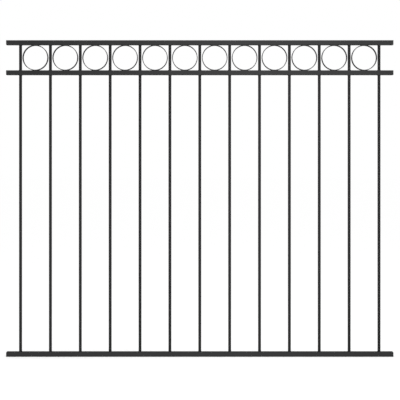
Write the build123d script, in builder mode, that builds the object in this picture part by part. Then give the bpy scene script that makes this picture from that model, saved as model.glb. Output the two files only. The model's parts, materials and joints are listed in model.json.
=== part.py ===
from build123d import *
import os

# Steel fence panel: three square-tube rails, round upright bars threaded through the middle rail,
# and a frieze of flat-bar rings between the two upper rails. Units are millimetres.
# X runs along the panel, Y through it (the front faces -Y) and Z is up.
# The origin is at the middle of the bottom rail's underside.

# Overall size
PANEL_WIDTH = 1700.0
PANEL_HEIGHT = 1390.0

# Rails: cold-formed square tube
RAIL_SIZE = 20.0
RAIL_WALL = 1.5
RAIL_CORNER_RADIUS = 2.0

# Upright bars: round tube, drawn solid because the rails close both of its ends
BAR_COUNT = 13
BAR_DIAMETER = 12.7
END_OVERHANG = 61.0  # from the outer bars' axes to the ends of the rails
BAR_HOLE_CLEARANCE = 0.2  # all round, between a bar and its holes in the middle rail

# Rings: flat bar rolled on edge, drawn many-sided with a flat against each of the upper rails
RING_THICKNESS = 3.0
RING_DEPTH = 12.0
RING_SIDES = 48
RING_SIDE_GAP = 3.4  # between a ring and the bars beside it

# Bolt holes that fix the rails' ends to the posts
BOLT_HOLE_DIAMETER = 11.0
BOLT_HOLE_INSET = 12.0  # from the end of a rail to the hole's axis

# Sizes and places that follow from those above
BAR_PITCH = (PANEL_WIDTH - 2 * END_OVERHANG) / (BAR_COUNT - 1)
BAR_HOLE_RADIUS = BAR_DIAMETER / 2 + BAR_HOLE_CLEARANCE
RING_COUNT = BAR_COUNT - 1
RING_RADIUS = (BAR_PITCH - BAR_DIAMETER) / 2 - RING_SIDE_GAP
BOLT_SPACING = PANEL_WIDTH - 2 * BOLT_HOLE_INSET
TOP_RAIL_UNDERSIDE = PANEL_HEIGHT - RAIL_SIZE
RING_AXIS_HEIGHT = TOP_RAIL_UNDERSIDE - RING_RADIUS
MIDDLE_RAIL_TOP = RING_AXIS_HEIGHT - RING_RADIUS
MIDDLE_RAIL_UNDERSIDE = MIDDLE_RAIL_TOP - RAIL_SIZE


def save(piece, name):
    """Labels a finished piece and writes it to a file of its own."""
    piece.label = name
    export_step(piece, f"parts/{name}.step")


def spread_along_panel(count):
    """X of each of a row of pieces, one bar pitch apart about the panel's middle."""
    return [(i - (count - 1) / 2) * BAR_PITCH for i in range(count)]


def make_rail(name, underside, threaded=False):
    """Square tube along X with a bolt hole down through it near each end.
    A threaded rail also has a hole down through it for each bar."""
    tube_end = Plane(
        origin=(-PANEL_WIDTH / 2, 0, underside + RAIL_SIZE / 2),
        x_dir=(0, 1, 0),
        z_dir=(1, 0, 0),
    )
    with BuildPart() as rail:
        with BuildSketch(tube_end) as tube_section:
            RectangleRounded(RAIL_SIZE, RAIL_SIZE, RAIL_CORNER_RADIUS)
            offset(amount=-RAIL_WALL, mode=Mode.SUBTRACT)
        extrude(amount=PANEL_WIDTH)
        with BuildSketch(Plane.XY.offset(underside)) as holes:
            with GridLocations(BOLT_SPACING, BOLT_SPACING, 2, 1):
                Circle(BOLT_HOLE_DIAMETER / 2)
            if threaded:
                with GridLocations(BAR_PITCH, BAR_PITCH, BAR_COUNT, 1):
                    Circle(BAR_HOLE_RADIUS)
        extrude(amount=RAIL_SIZE, mode=Mode.SUBTRACT)
    save(rail.part, name)


def make_bar(name, x):
    """Upright that stands on the bottom rail and carries the top rail."""
    with BuildPart() as bar:
        with BuildSketch(Plane(origin=(x, 0, RAIL_SIZE))) as bar_section:
            Circle(BAR_DIAMETER / 2)
        extrude(amount=TOP_RAIL_UNDERSIDE - RAIL_SIZE)
    save(bar.part, name)


def make_ring(name, x):
    """Hoop with its axis along Y, standing on the middle rail under the top rail."""
    half_side_angle = 180 / RING_SIDES
    inner_radius = RING_RADIUS - RING_THICKNESS
    with BuildPart() as ring:
        with BuildSketch(Plane(origin=(x, 0, RING_AXIS_HEIGHT), z_dir=(0, -1, 0))) as hoop:
            RegularPolygon(RING_RADIUS, RING_SIDES, major_radius=False, rotation=half_side_angle)
            RegularPolygon(
                inner_radius,
                RING_SIDES,
                major_radius=False,
                rotation=half_side_angle,
                mode=Mode.SUBTRACT,
            )
        extrude(amount=RING_DEPTH / 2, both=True)
    save(ring.part, name)


os.makedirs("parts", exist_ok=True)

make_rail("bottom_rail", 0)
make_rail("middle_rail", MIDDLE_RAIL_UNDERSIDE, threaded=True)
make_rail("top_rail", TOP_RAIL_UNDERSIDE)

for number, x in enumerate(spread_along_panel(BAR_COUNT), start=1):
    make_bar(f"bar_{number:02d}", x)

for number, x in enumerate(spread_along_panel(RING_COUNT), start=1):
    make_ring(f"ring_{number:02d}", x)
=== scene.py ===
import json
import math

import bmesh
import bpy
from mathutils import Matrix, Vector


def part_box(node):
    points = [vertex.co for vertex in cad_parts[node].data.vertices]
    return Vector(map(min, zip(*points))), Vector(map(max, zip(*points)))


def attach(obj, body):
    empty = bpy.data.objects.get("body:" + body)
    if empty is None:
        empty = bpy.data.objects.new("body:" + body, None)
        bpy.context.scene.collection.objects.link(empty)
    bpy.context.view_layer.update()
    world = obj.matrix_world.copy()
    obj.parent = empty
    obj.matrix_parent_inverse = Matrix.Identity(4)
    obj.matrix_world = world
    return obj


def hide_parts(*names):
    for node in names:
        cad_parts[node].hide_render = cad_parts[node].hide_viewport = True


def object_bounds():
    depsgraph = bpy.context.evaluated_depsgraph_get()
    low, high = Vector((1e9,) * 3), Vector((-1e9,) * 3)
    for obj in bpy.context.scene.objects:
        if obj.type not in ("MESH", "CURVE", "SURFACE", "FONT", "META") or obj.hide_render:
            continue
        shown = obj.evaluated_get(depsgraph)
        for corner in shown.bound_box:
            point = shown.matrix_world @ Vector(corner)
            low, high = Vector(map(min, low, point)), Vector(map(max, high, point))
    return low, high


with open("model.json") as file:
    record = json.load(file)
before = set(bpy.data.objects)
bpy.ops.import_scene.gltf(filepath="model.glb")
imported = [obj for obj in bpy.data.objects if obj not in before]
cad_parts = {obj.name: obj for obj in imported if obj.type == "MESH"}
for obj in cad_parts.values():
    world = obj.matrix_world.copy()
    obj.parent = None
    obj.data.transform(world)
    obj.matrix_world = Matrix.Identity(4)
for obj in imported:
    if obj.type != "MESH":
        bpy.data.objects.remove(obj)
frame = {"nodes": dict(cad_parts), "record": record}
cad_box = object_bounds()

# Rails: three lengths of cold-formed square steel tube, sawn square and left open at both ends.
# Each is drilled for a bolt near its ends, and the middle one for every bar that is threaded through.
# The finished panel is powder coated black in one go, so the coat thins out inside the tubes.
RAIL_WALL = 0.0015
RAIL_CORNER_RADIUS = 0.002
RAIL_CORNER_STEPS = 6
RAIL_FLAT_LEAD = 0.0006  # from a corner's end to the extra line that keeps the flats flat
COAT_FADE = (  # depth inside the tube's mouth, and how bare the steel is there
    (0.000, 0.00),
    (0.030, 0.10),
    (0.055, 0.40),
    (0.085, 0.80),
    (0.130, 1.00),
)
PLACE_DIGITS = 7  # heights are kept to a tenth of a micron


def link_piece(name, bm, *materials):
    """Turns a finished bmesh into a smooth-shaded object of that name."""
    bmesh.ops.recalc_face_normals(bm, faces=bm.faces)
    mesh = bpy.data.meshes.new(name)
    bm.to_mesh(mesh)
    bm.free()
    mesh.shade_smooth()
    for material in materials:
        mesh.materials.append(material)
    piece = bpy.data.objects.new(name, mesh)
    bpy.context.scene.collection.objects.link(piece)
    return piece


def skin_loops(bm, loops, closed=False):
    """Joins loops of vertices, each with the next, by quads, and the last with the first if closed."""
    pairs = list(zip(loops, loops[1:]))
    if closed:
        pairs.append((loops[-1], loops[0]))
    for loop, following in pairs:
        count = len(loop)
        for i in range(count):
            j = (i + 1) % count
            bm.faces.new((loop[i], loop[j], following[j], following[i]))


def rounded_section(half_width, half_height, radius, steps, lead=0):
    """Outline points (across, up, edge) of a bar: edge is 1 in the middle of a corner and 0 on the flats.
    With a lead, each flat has a point that far from either end of it."""
    turns = [(step / steps, 0) for step in range(steps + 1)]
    if lead:
        turns = [(0, -lead), *turns, (1, lead)]
    outline = []
    for quarter, (side, top) in enumerate(((1, 1), (-1, 1), (-1, -1), (1, -1))):
        for turn, along in turns:
            angle = math.radians(90 * (quarter + turn))
            across = side * (half_width - radius) + radius * math.cos(angle) - along * math.sin(angle)
            up = top * (half_height - radius) + radius * math.sin(angle) + along * math.cos(angle)
            outline.append((across, up, abs(math.sin(2 * angle))))
    return outline


def square_tube(name, low, high, material):
    """A length of tube along X between two box corners, hollow, with its coat fading inside each mouth."""
    bm = bmesh.new()
    thin = bm.verts.layers.float.new("thin_coat")
    bare = bm.verts.layers.float.new("bare")
    half = (high.z - low.z) / 2
    axis_z = (high.z + low.z) / 2
    inner_half = half - RAIL_WALL
    inner_radius = RAIL_CORNER_RADIUS - RAIL_WALL
    outside = rounded_section(half, half, RAIL_CORNER_RADIUS, RAIL_CORNER_STEPS, RAIL_FLAT_LEAD)
    inside = rounded_section(inner_half, inner_half, inner_radius, RAIL_CORNER_STEPS, RAIL_FLAT_LEAD)
    stations = [(low.x, outside, 0.0), (high.x, outside, 0.0)]
    stations += [(high.x - depth, inside, share) for depth, share in COAT_FADE]
    stations += [(low.x + depth, inside, share) for depth, share in reversed(COAT_FADE)]
    loops = []
    for x, outline, share in stations:
        loop = []
        for y, z, edge in outline:
            vert = bm.verts.new((x, y, round(axis_z + z, PLACE_DIGITS)))
            vert[thin] = edge if outline is outside else 0.0
            vert[bare] = share
            loop.append(vert)
        loops.append(loop)
    skin_loops(bm, loops, closed=True)
    return link_piece(name, bm, material)


HOLE_STEPS = 40
BURR_RADIUS = 0.0003  # the saw cuts and the drilled holes are deburred
BURR_STEPS = 2
SHARP_EDGE = math.radians(50)  # any sharper edge is deburred
FLAT_WEIGHT = 80  # above 50, the larger faces lead the shading


def turned_solid(bm, x, profile, steps):
    """Adds a closed round solid about an upright axis at x, through each (radius, z) of its profile."""
    loops = []
    for radius, z in profile:
        loop = []
        for step in range(steps):
            angle = 2 * math.pi * step / steps
            loop.append(bm.verts.new((x + radius * math.cos(angle), radius * math.sin(angle), z)))
        loops.append(loop)
    skin_loops(bm, loops)
    bm.faces.new(loops[0])
    bm.faces.new(loops[-1])


def keep_flats(piece):
    """Lets the large faces lead the shading, so that flats look flat right up to their rounded edges."""
    flats = piece.modifiers.new("flats", "WEIGHTED_NORMAL")
    flats.weight = FLAT_WEIGHT


def drill(piece, holes, low_z, high_z):
    """Cuts upright round holes, given as (x, radius), right through a rail, and deburrs its sharp edges."""
    bits_bm = bmesh.new()
    for x, radius in holes:
        turned_solid(bits_bm, x, [(radius, low_z - RAIL_WALL), (radius, high_z + RAIL_WALL)], HOLE_STEPS)
    bits = link_piece(piece.name + "_drill", bits_bm)
    cut = piece.modifiers.new("holes", "BOOLEAN")
    cut.operation = "DIFFERENCE"
    cut.solver = "EXACT"
    cut.object = bits
    deburr = piece.modifiers.new("deburring", "BEVEL")
    deburr.limit_method = "ANGLE"
    deburr.angle_limit = SHARP_EDGE
    deburr.width = BURR_RADIUS
    deburr.segments = BURR_STEPS
    keep_flats(piece)
    finished = piece.evaluated_get(bpy.context.evaluated_depsgraph_get())
    piece.data = bpy.data.meshes.new_from_object(finished)
    piece.data.name = piece.name
    piece.modifiers.clear()
    bpy.data.objects.remove(bits)


COAT_ROUGHNESS = 0.80
COAT_SPECULAR = 0.08  # a matt coat hardly mirrors
COAT_BUMP = 0.8
CLOUD_SCALE = 9.0
CLOUD_DETAIL = 3.0
CLOUD_SPREAD = 0.10  # how much lighter and darker the coat turns in its clouds
PEEL_DETAIL = 2.0
PEEL_SHADE_SPREAD = 0.18  # and as painted light on the bumps and painted shade in the pits of its orange peel
NOISE_LOW = 0.3  # nearly all of a noise lies between these
NOISE_HIGH = 0.7


def tone_factor(group, noise, spread):
    """Turns a noise node's value into a factor from 1 - spread to 1 + spread."""
    tone = group.nodes.new("ShaderNodeMapRange")
    tone.inputs["From Min"].default_value = NOISE_LOW
    tone.inputs["From Max"].default_value = NOISE_HIGH
    tone.inputs["To Min"].default_value = 1 - spread
    tone.inputs["To Max"].default_value = 1 + spread
    group.links.new(noise.outputs["Fac"], tone.inputs["Value"])
    return tone.outputs["Result"]


def toned(group, colour, factor):
    """A colour made lighter or darker by a factor."""
    scaled = group.nodes.new("ShaderNodeVectorMath")
    scaled.operation = "SCALE"
    group.links.new(colour, scaled.inputs[0])
    group.links.new(factor, scaled.inputs["Scale"])
    return scaled.outputs["Vector"]


def powder_coat_group():
    """Fine orange peel, with painted shade in its pits and painted light on its bumps, and faint cloudiness
    of a baked coat, which is thinner and greyer on edges.
    """
    group = bpy.data.node_groups.new("powder_coat", "ShaderNodeTree")
    for name, kind in (
        ("Colour", "NodeSocketColor"),
        ("Thin Colour", "NodeSocketColor"),
        ("Thin", "NodeSocketFloat"),
        ("Roughness", "NodeSocketFloat"),
        ("Peel Scale", "NodeSocketFloat"),
    ):
        group.interface.new_socket(name, in_out="INPUT", socket_type=kind)
    for name, kind in (
        ("Colour", "NodeSocketColor"),
        ("Roughness", "NodeSocketFloat"),
        ("Height", "NodeSocketFloat"),
    ):
        group.interface.new_socket(name, in_out="OUTPUT", socket_type=kind)
    nodes, links = group.nodes, group.links
    entry = nodes.new("NodeGroupInput")
    leave = nodes.new("NodeGroupOutput")
    place = nodes.new("ShaderNodeTexCoord")

    clouds = nodes.new("ShaderNodeTexNoise")
    clouds.inputs["Scale"].default_value = CLOUD_SCALE
    clouds.inputs["Detail"].default_value = CLOUD_DETAIL
    links.new(place.outputs["Object"], clouds.inputs["Vector"])
    cloud_tone = tone_factor(group, clouds, CLOUD_SPREAD)

    peel = nodes.new("ShaderNodeTexNoise")
    peel.inputs["Detail"].default_value = PEEL_DETAIL
    links.new(place.outputs["Object"], peel.inputs["Vector"])
    links.new(entry.outputs["Peel Scale"], peel.inputs["Scale"])
    links.new(peel.outputs["Fac"], leave.inputs["Height"])
    # painted light and shade: the peel's noise lightens the coat's colour on its bumps and darkens it in
    # its pits
    peel_light_and_shade = tone_factor(group, peel, PEEL_SHADE_SPREAD)

    clouded = toned(group, entry.outputs["Colour"], cloud_tone)
    peel_shaded = toned(group, clouded, peel_light_and_shade)
    thinned = nodes.new("ShaderNodeMix")
    thinned.data_type = "RGBA"
    links.new(entry.outputs["Thin"], thinned.inputs["Factor"])
    links.new(peel_shaded, thinned.inputs["A"])
    links.new(entry.outputs["Thin Colour"], thinned.inputs["B"])
    links.new(thinned.outputs["Result"], leave.inputs["Colour"])

    clouded_roughness = nodes.new("ShaderNodeMath")
    clouded_roughness.operation = "MULTIPLY"
    links.new(entry.outputs["Roughness"], clouded_roughness.inputs[0])
    links.new(cloud_tone, clouded_roughness.inputs[1])
    links.new(clouded_roughness.outputs["Value"], leave.inputs["Roughness"])
    return group


powder_coat = powder_coat_group()


def coated_material(name, colour, peel_scale, peel_depth, thin_colour=None):
    """Black powder coat over steel, in its thin colour, if any, where the thin_coat attribute rises."""
    material = bpy.data.materials.new(name)
    material.use_nodes = True
    nodes, links = material.node_tree.nodes, material.node_tree.links
    shader = nodes["Principled BSDF"]
    shader.inputs["Specular IOR Level"].default_value = COAT_SPECULAR
    coat = nodes.new("ShaderNodeGroup")
    coat.node_tree = powder_coat
    coat.name = "coat"
    coat.inputs["Colour"].default_value = (*colour, 1)
    coat.inputs["Roughness"].default_value = COAT_ROUGHNESS
    coat.inputs["Peel Scale"].default_value = peel_scale
    if thin_colour:
        coat.inputs["Thin Colour"].default_value = (*thin_colour, 1)
        thin = nodes.new("ShaderNodeAttribute")
        thin.attribute_name = "thin_coat"
        links.new(thin.outputs["Fac"], coat.inputs["Thin"])
    links.new(coat.outputs["Colour"], shader.inputs["Base Color"])
    links.new(coat.outputs["Roughness"], shader.inputs["Roughness"])
    bump = nodes.new("ShaderNodeBump")
    bump.inputs["Strength"].default_value = COAT_BUMP
    bump.inputs["Distance"].default_value = peel_depth
    links.new(coat.outputs["Height"], bump.inputs["Height"])
    links.new(bump.outputs["Normal"], shader.inputs["Normal"])
    return material


BARE_STEEL_COLOUR = (0.19, 0.18, 0.17)


def rail_material():
    """The coat outside, giving way to bare drawn steel inside the tube where the bare attribute rises."""
    material = coated_material(
        "rail_coat",
        colour=(0.031, 0.031, 0.0315),
        peel_scale=900,
        peel_depth=0.00015,
        thin_colour=(0.034, 0.034, 0.0345),
    )
    nodes, links = material.node_tree.nodes, material.node_tree.links
    shader = nodes["Principled BSDF"]
    bare = nodes.new("ShaderNodeAttribute")
    bare.attribute_name = "bare"
    steel = nodes.new("ShaderNodeMix")
    steel.data_type = "RGBA"
    steel.inputs["B"].default_value = (*BARE_STEEL_COLOUR, 1)
    links.new(bare.outputs["Fac"], steel.inputs["Factor"])
    links.new(nodes["coat"].outputs["Colour"], steel.inputs["A"])
    links.new(steel.outputs["Result"], shader.inputs["Base Color"])
    links.new(bare.outputs["Fac"], shader.inputs["Metallic"])
    return material


MM = 0.001  # the record gives bolt patterns in millimetres
BAR_NAMES = sorted(name for name in frame["nodes"] if name.startswith("bar_"))
first_bar_low, first_bar_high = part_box(BAR_NAMES[0])
BAR_RADIUS = (first_bar_high.x - first_bar_low.x) / 2
BAR_HOLE_CLEARANCE = 0.0002


def middle_of(node):
    """The middle of a node's box."""
    low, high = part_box(node)
    return (low + high) / 2


rail_coat = rail_material()
mounts = {mount["name"]: mount for mount in frame["record"]["mounts"]}
for rail_name in ("bottom_rail", "middle_rail", "top_rail"):
    low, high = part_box(rail_name)
    bolts = mounts[rail_name + "_bolts"]["dims"]
    bolt_x = bolts["spacing_x_mm"] * MM / 2
    bolt_hole_radius = bolts["hole_r_mm"] * MM
    holes = [(-bolt_x, bolt_hole_radius), (bolt_x, bolt_hole_radius)]
    if rail_name == "middle_rail":
        holes += [(middle_of(bar_name).x, BAR_RADIUS + BAR_HOLE_CLEARANCE) for bar_name in BAR_NAMES]
    tube = square_tube(rail_name + "_tube", low, high, rail_coat)
    drill(tube, holes, low.z, high.z)
    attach(tube, "root")
    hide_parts(rail_name)

# Upright bars: slim round steel tube, cut to stand on the bottom rail and carry the top one.
# Each is slid through its holes in the middle rail before it is welded at all three rails.
BAR_STEPS = 48
BAR_END_CHAMFER = 0.0004

# painted shade: the bars get a darker colour than the rails, though the whole panel wears one coat
shaded_bar_coat = coated_material(
    "shaded_bar_coat",
    colour=(0.022, 0.022, 0.0224),
    peel_scale=1000,
    peel_depth=0.00012,
)


def round_bar(name, low, high, material):
    """An upright with slightly chamfered ends, standing between two box corners."""
    bm = bmesh.new()
    radius = (high.x - low.x) / 2
    profile = [
        (radius - BAR_END_CHAMFER, low.z),
        (radius, low.z + BAR_END_CHAMFER),
        (radius, high.z - BAR_END_CHAMFER),
        (radius - BAR_END_CHAMFER, high.z),
    ]
    turned_solid(bm, (low.x + high.x) / 2, profile, BAR_STEPS)
    return link_piece(name, bm, material)


for bar_name in BAR_NAMES:
    bar = round_bar(bar_name + "_tube", *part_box(bar_name), shaded_bar_coat)
    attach(bar, "root")
    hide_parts(bar_name)

# Bar welds: a fillet bead run round each bar by hand wherever it meets a face of a rail.
# The bead is of the same steel, rippled by the weaving torch, and lies under the same black coat.
BEAD_LEG = 0.0023
BEAD_BULGE = 0.0004
BEAD_ROOT = 0.0003  # how far the bead runs into the bar and the rail
BEAD_STEPS = 112
BEAD_FACE_STEPS = 6
RIPPLE_COUNT = 16
RIPPLE_HEIGHT = 0.00028
WANDER_HEIGHT = 0.00025
BEAD_PHASE = 2.4  # each bead starts at another place round its bar

weld_coat = coated_material(
    "weld_coat",
    colour=(0.027, 0.027, 0.0274),
    peel_scale=700,
    peel_depth=0.00020,
)


def fillet_bead(bm, x, face_z, up, number):
    """A closed ring of weld round a bar at x on a rail's face, growing up (1) or down (-1) from it."""
    start = number * BEAD_PHASE
    root = BAR_RADIUS - BEAD_ROOT
    loops = []
    for step in range(BEAD_STEPS):
        angle = 2 * math.pi * step / BEAD_STEPS
        ripple = RIPPLE_HEIGHT * abs(math.sin(RIPPLE_COUNT * (angle + start) / 2))
        wander = WANDER_HEIGHT * (math.sin(angle + start) + 0.5 * math.sin(3 * angle - 2 * start))
        leg = BEAD_LEG + wander + BEAD_ROOT
        section = [(root, -BEAD_ROOT)]
        for face_step in range(BEAD_FACE_STEPS + 1):
            share = face_step / BEAD_FACE_STEPS
            swell = (BEAD_BULGE + ripple) * math.sin(math.pi * share)
            bulge = swell * math.sqrt(0.5)  # as far outwards as upwards, square to the bead's slope
            section.append((root + leg * (1 - share) + bulge, -BEAD_ROOT + leg * share + bulge))
        loop = []
        for out, height in section:
            place = (x + out * math.cos(angle), out * math.sin(angle), face_z + up * height)
            loop.append(bm.verts.new(place))
        loops.append(loop)
    skin_loops(bm, loops, closed=True)


welded_faces = {
    "bottom_rail": [(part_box("bottom_rail")[1].z, 1)],
    "middle_rail": [(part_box("middle_rail")[0].z, -1), (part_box("middle_rail")[1].z, 1)],
    "top_rail": [(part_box("top_rail")[0].z, -1)],
}
bead_number = 0
for rail_name, faces in welded_faces.items():
    bm = bmesh.new()
    for face_z, up in faces:
        for bar_name in BAR_NAMES:
            fillet_bead(bm, middle_of(bar_name).x, face_z, up, bead_number)
            bead_number += 1
    beads = link_piece(rail_name + "_bar_welds", bm, weld_coat)
    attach(beads, "root")

# Rings: flat steel bar rolled on edge into a hoop, its ends butted and welded.
# One stands in each bay of the frieze, touching the rails above and below.
RING_THICKNESS = 0.0030
RING_EDGE_RADIUS = 0.0005
RING_EDGE_STEPS = 3
RING_STEPS = 160
RING_NAMES = sorted(name for name in frame["nodes"] if name.startswith("ring_"))

ring_coat = coated_material(
    "ring_coat",
    colour=(0.027, 0.027, 0.0274),
    peel_scale=1000,
    peel_depth=0.00012,
    thin_colour=(0.030, 0.030, 0.0305),
)


def rolled_hoop(name, low, high, material):
    """A hoop of flat bar with softened edges, its axis along Y, filling the box between two corners."""
    bm = bmesh.new()
    thin = bm.verts.layers.float.new("thin_coat")
    centre_x = (low.x + high.x) / 2
    centre_z = (low.z + high.z) / 2
    half_depth = (high.y - low.y) / 2
    half_thickness = RING_THICKNESS / 2
    middle_radius = (high.z - low.z) / 2 - half_thickness
    section = rounded_section(half_thickness, half_depth, RING_EDGE_RADIUS, RING_EDGE_STEPS)
    loops = []
    for step in range(RING_STEPS):
        angle = 2 * math.pi * step / RING_STEPS
        loop = []
        for out, depth, edge in section:
            radius = middle_radius + out
            place = (centre_x + radius * math.cos(angle), depth, centre_z + radius * math.sin(angle))
            vert = bm.verts.new(place)
            vert[thin] = edge
            loop.append(vert)
        loops.append(loop)
    skin_loops(bm, loops, closed=True)
    hoop = link_piece(name, bm, material)
    keep_flats(hoop)
    return hoop


for ring_name in RING_NAMES:
    hoop = rolled_hoop(ring_name + "_hoop", *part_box(ring_name), ring_coat)
    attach(hoop, "root")
    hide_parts(ring_name)

# Ring welds: a short tack run into the wedge on either side of the spot where a ring meets a rail.
# They are drops of weld metal that wet both pieces, coated black with the rest.
TACK_OFFSET = 0.0080  # from the spot where ring and rail touch
TACK_HALF_WIDTH = 0.0034
TACK_HALF_DEPTH = 0.0046
TACK_HALF_HEIGHT = 0.0009
TACK_STEPS = 20
TACK_LAYERS = 10
TACK_WANDER = 0.12


def tack(bm, x, z, number):
    """A flattened drop of weld at x, z in the middle of the panel's depth, a little uneven."""
    start = number * BEAD_PHASE
    loops = []
    for layer in range(1, TACK_LAYERS):
        tilt = math.pi * layer / TACK_LAYERS
        loop = []
        for step in range(TACK_STEPS):
            angle = 2 * math.pi * step / TACK_STEPS
            swell = 1 + TACK_WANDER * math.sin(2 * angle + start) * math.sin(tilt)
            place = (
                x + TACK_HALF_WIDTH * swell * math.sin(tilt) * math.cos(angle),
                TACK_HALF_DEPTH * swell * math.sin(tilt) * math.sin(angle),
                z + TACK_HALF_HEIGHT * math.cos(tilt),
            )
            loop.append(bm.verts.new(place))
        loops.append(loop)
    skin_loops(bm, loops)
    for loop, end in ((loops[0], 1), (loops[-1], -1)):
        tip = bm.verts.new((x, 0, z + end * TACK_HALF_HEIGHT))
        for i in range(TACK_STEPS):
            bm.faces.new((loop[i], loop[(i + 1) % TACK_STEPS], tip))


tack_bm = bmesh.new()
tack_number = 0
for ring_name in RING_NAMES:
    low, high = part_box(ring_name)
    centre_x = (low.x + high.x) / 2
    radius = (high.z - low.z) / 2
    wedge = radius - math.sqrt(radius**2 - TACK_OFFSET**2)
    for z in (low.z + wedge / 2, high.z - wedge / 2):
        for side in (-1, 1):
            tack(tack_bm, centre_x + side * TACK_OFFSET, z, tack_number)
            tack_number += 1
ring_tacks = link_piece("ring_tack_welds", tack_bm, weld_coat)
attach(ring_tacks, "root")

# Studio: a plain white floor that the panel stands on, under soft light from all round.
# One lamp stands in front of the upper rails, right of the middle, and a wider one low in front.
FLOOR_HALF = 40.0
FLOOR_COLOUR = (0.90, 0.90, 0.90)
FLOOR_GLOW = 0.42  # what the lit floor lacks of full white
AMBIENT = 0.64  # strength of the light from all round
FRONT_LAMP_PLACE = (0.36, -1.0, 1.5)
FRONT_LAMP_SIZE = (0.5, 0.3)
FRONT_LAMP_WATTS = 7
LOW_LAMP_PLACE = (0.0, -1.8, 0.3)
LOW_LAMP_SIZE = (1.6, 0.4)
LOW_LAMP_WATTS = 18
LEVEL_TO_THE_BACK = (math.radians(90), 0, 0)  # turns a lamp or a camera to look along +Y


def seen_directly(nodes, links):
    """1 for what the camera sees, also by reflection or through glass, and 0 for light that fills in."""
    rays = nodes.new("ShaderNodeLightPath")
    mirrored = nodes.new("ShaderNodeMath")
    mirrored.operation = "MAXIMUM"
    links.new(rays.outputs["Is Camera Ray"], mirrored.inputs[0])
    links.new(rays.outputs["Is Glossy Ray"], mirrored.inputs[1])
    through = nodes.new("ShaderNodeMath")
    through.operation = "MAXIMUM"
    links.new(mirrored.outputs["Value"], through.inputs[0])
    links.new(rays.outputs["Is Transmission Ray"], through.inputs[1])
    return through.outputs["Value"]


def floor_material():
    """Matt white that shows as white paper to the eye and in reflections, and still takes a shadow."""
    material = bpy.data.materials.new("studio_floor")
    material.use_nodes = True
    nodes, links = material.node_tree.nodes, material.node_tree.links
    nodes.clear()
    matt = nodes.new("ShaderNodeBsdfDiffuse")
    matt.inputs["Color"].default_value = (*FLOOR_COLOUR, 1)
    strength = nodes.new("ShaderNodeMath")
    strength.operation = "MULTIPLY"
    strength.inputs[1].default_value = FLOOR_GLOW
    links.new(seen_directly(nodes, links), strength.inputs[0])
    glow = nodes.new("ShaderNodeEmission")
    links.new(strength.outputs["Value"], glow.inputs["Strength"])
    both = nodes.new("ShaderNodeAddShader")
    links.new(matt.outputs["BSDF"], both.inputs[0])
    links.new(glow.outputs["Emission"], both.inputs[1])
    surface = nodes.new("ShaderNodeOutputMaterial")
    links.new(both.outputs["Shader"], surface.inputs["Surface"])
    return material


floor_bm = bmesh.new()
for x, y in ((-1, -1), (1, -1), (1, 1), (-1, 1)):
    floor_bm.verts.new((x * FLOOR_HALF, y * FLOOR_HALF, cad_box[0].z))
floor_bm.faces.new(floor_bm.verts)
floor = link_piece("studio_floor", floor_bm, floor_material())

world = bpy.data.worlds.new("white_studio")
bpy.context.scene.world = world
world.use_nodes = True
sky_nodes, sky_links = world.node_tree.nodes, world.node_tree.links
sky = sky_nodes["Background"]
sky.inputs["Color"].default_value = (1, 1, 1, 1)
level = sky_nodes.new("ShaderNodeMapRange")
level.inputs["To Min"].default_value = AMBIENT
level.inputs["To Max"].default_value = 1.0
sky_links.new(seen_directly(sky_nodes, sky_links), level.inputs["Value"])
sky_links.new(level.outputs["Result"], sky.inputs["Strength"])


def lamp(name, place, size, watts):
    """A soft box lamp of a width and height, facing the panel squarely, that the camera doesn't see."""
    data = bpy.data.lights.new(name, "AREA")
    data.shape = "RECTANGLE"
    data.size, data.size_y = size
    data.energy = watts
    item = bpy.data.objects.new(name, data)
    item.location = place
    item.rotation_euler = LEVEL_TO_THE_BACK
    item.visible_camera = False
    bpy.context.scene.collection.objects.link(item)


lamp("front_lamp", FRONT_LAMP_PLACE, FRONT_LAMP_SIZE, FRONT_LAMP_WATTS)
lamp("low_lamp", LOW_LAMP_PLACE, LOW_LAMP_SIZE, LOW_LAMP_WATTS)

# Camera: level and square to the panel, as the panel's parallel uprights in the picture show.
# It stands a little above the middle, so the top of the bottom rail can be seen.
CAMERA_DISTANCE = 2.9
CAMERA_RIGHT = 0.001
CAMERA_HEIGHT = 0.84
PICTURE_WIDTH = 1.7550  # what the frame spans at the rails' front faces
PICTURE_MIDDLE_HEIGHT = 0.6885

camera_data = bpy.data.cameras.new("camera")
camera = bpy.data.objects.new("camera", camera_data)
bpy.context.scene.collection.objects.link(camera)
camera.location = (CAMERA_RIGHT, -CAMERA_DISTANCE, CAMERA_HEIGHT)
camera.rotation_euler = LEVEL_TO_THE_BACK
camera_data.lens = camera_data.sensor_width * (CAMERA_DISTANCE + cad_box[0].y) / PICTURE_WIDTH
camera_data.shift_y = (PICTURE_MIDDLE_HEIGHT - CAMERA_HEIGHT) / PICTURE_WIDTH
bpy.context.scene.camera = camera
bpy.context.scene.view_settings.view_transform = "Standard"
